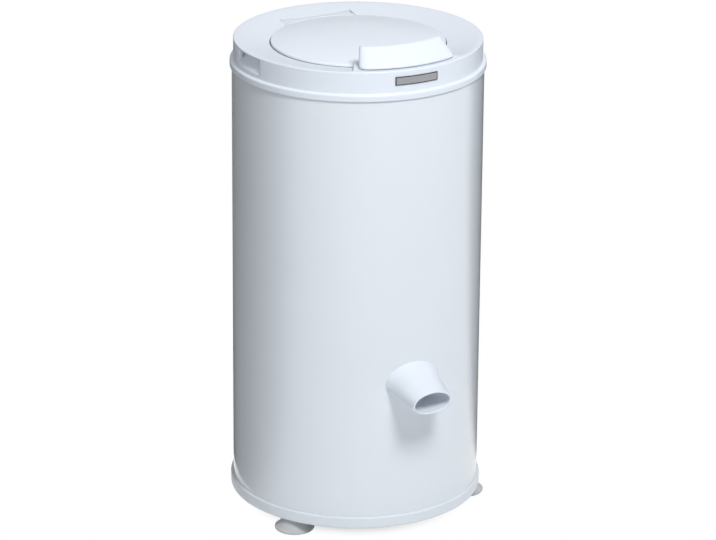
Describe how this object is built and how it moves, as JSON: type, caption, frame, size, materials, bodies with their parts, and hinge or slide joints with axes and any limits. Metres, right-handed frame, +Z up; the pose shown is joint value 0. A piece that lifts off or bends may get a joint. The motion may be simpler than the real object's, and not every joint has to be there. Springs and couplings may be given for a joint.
{
  "type": "laundry spin dryer",
  "caption": "Upright round laundry spin dryer: white steel casing on rubber feet, hinged round lid with latching handle, spinning drum and a front drain spout.",
  "frame": {"origin": "middle of the object's box in plan, on the floor that the feet stand on", "axes": "+Z up, -Y to the front where the spout, badge plate and handle are, +X to the right of someone who faces the front"},
  "size_m": [0.352, 0.413, 0.6992],
  "materials": {
    "white_steel": "gloss white enamel",
    "white_plastic": "satin gloss moulded",
    "base_plastic": "satin moulded",
    "tub_plastic": "moulded",
    "grey_rubber": "matte",
    "black_rubber": "matte",
    "stainless_steel": "brushed",
    "zinc_steel": "zinc plated",
    "cast_aluminium": "as cast",
    "steel_core": "varnished",
    "black_plastic": "moulded",
    "grey_plate": "satin",
    "friction_pad": "rough"
  },
  "bodies": {
    "chassis": {"base_pan": "base_plastic", "foot_left": "grey_rubber", "foot_right": "grey_rubber", "foot_rear": "grey_rubber", "foot_screw_left": "zinc_steel", "foot_screw_right": "zinc_steel", "foot_screw_rear": "zinc_steel", "outer_casing": "white_steel", "top_cover": "white_plastic", "badge_plate": "grey_plate", "water_tub": "tub_plastic", "splash_ring": "tub_plastic", "spout_seal": "black_rubber", "drain_spout": "white_plastic", "neck_seal": "black_rubber", "tub_screw_1": "zinc_steel", "tub_screw_2": "zinc_steel", "tub_screw_3": "zinc_steel", "motor_carrier": "zinc_steel", "rubber_mount_1": "black_rubber", "rubber_mount_2": "black_rubber", "rubber_mount_3": "black_rubber", "mount_bolt_1": "zinc_steel", "mount_bolt_2": "zinc_steel", "mount_bolt_3": "zinc_steel", "stator": "steel_core", "lower_end_shield": "cast_aluminium", "upper_end_shield": "cast_aluminium", "lower_bearing": "steel_core", "upper_bearing": "steel_core", "motor_bolt_1": "zinc_steel", "motor_bolt_2": "zinc_steel", "motor_bolt_3": "zinc_steel", "brake_pivot": "zinc_steel", "brake_spring": "steel_core", "switch_bracket": "zinc_steel", "plunger_spring": "zinc_steel", "microswitch": "black_plastic", "brake_cable": "black_plastic", "terminal_box": "black_plastic", "cord_grommet": "black_rubber", "capacitor": "grey_plate", "lid_hinge_pin": "zinc_steel"},
    "spinner": {"drum": "stainless_steel", "drum_hub": "cast_aluminium", "drum_shaft": "steel_core", "hub_nut": "zinc_steel", "hub_cap": "grey_plate", "rotor": "steel_core", "brake_drum": "steel_core"},
    "lid": {"lid_outer": "white_plastic", "lid_inner": "tub_plastic", "lid_gasket": "black_rubber", "handle_pin_right": "zinc_steel", "handle_pin_left": "zinc_steel"},
    "handle": {"lid_handle": "white_plastic", "latch_hook": "zinc_steel"},
    "plunger": {"interlock_plunger": "black_plastic"},
    "brake": {"brake_lever": "zinc_steel", "brake_shoe": "friction_pad"}
  },
  "joints": [
    {"name": "lid_hinge", "type": "hinge", "parent": "chassis", "child": "lid", "pos_m": [0, 0.15105, 0.6639], "axis": [-1, 0, 0], "range_deg": [0, 95]},
    {"name": "handle_lift", "type": "hinge", "parent": "lid", "child": "handle", "pos_m": [0, -0.08595, 0.6787], "axis": [-1, 0, 0], "range_deg": [0, 24], "stiffness_Nm_per_rad": 0.15, "springref_deg": -20.05},
    {"name": "drum_spin", "type": "hinge", "parent": "chassis", "child": "spinner", "pos_m": [0, 0.02405, 0.1915], "axis": [0, 0, 1], "continuous": true},
    {"name": "plunger_slide", "type": "slide", "parent": "chassis", "child": "plunger", "axis": [0, 0, 1], "range_m": [0, 0.005], "stiffness_N_per_m": 100, "springref_m": 0.006, "deforming": ["plunger_spring"]},
    {"name": "brake_swing", "type": "hinge", "parent": "chassis", "child": "brake", "pos_m": [-0.052, -0.00795, 0.054], "axis": [0, 0, -1], "range_deg": [0, 2.2], "stiffness_Nm_per_rad": 1}
  ],
  "couplings": [
    {"joint": "plunger_slide", "follows": "handle_lift", "m_per_rad": 0.0119},
    {"joint": "brake_swing", "follows": "handle_lift", "ratio": 0.0916}
  ]
}
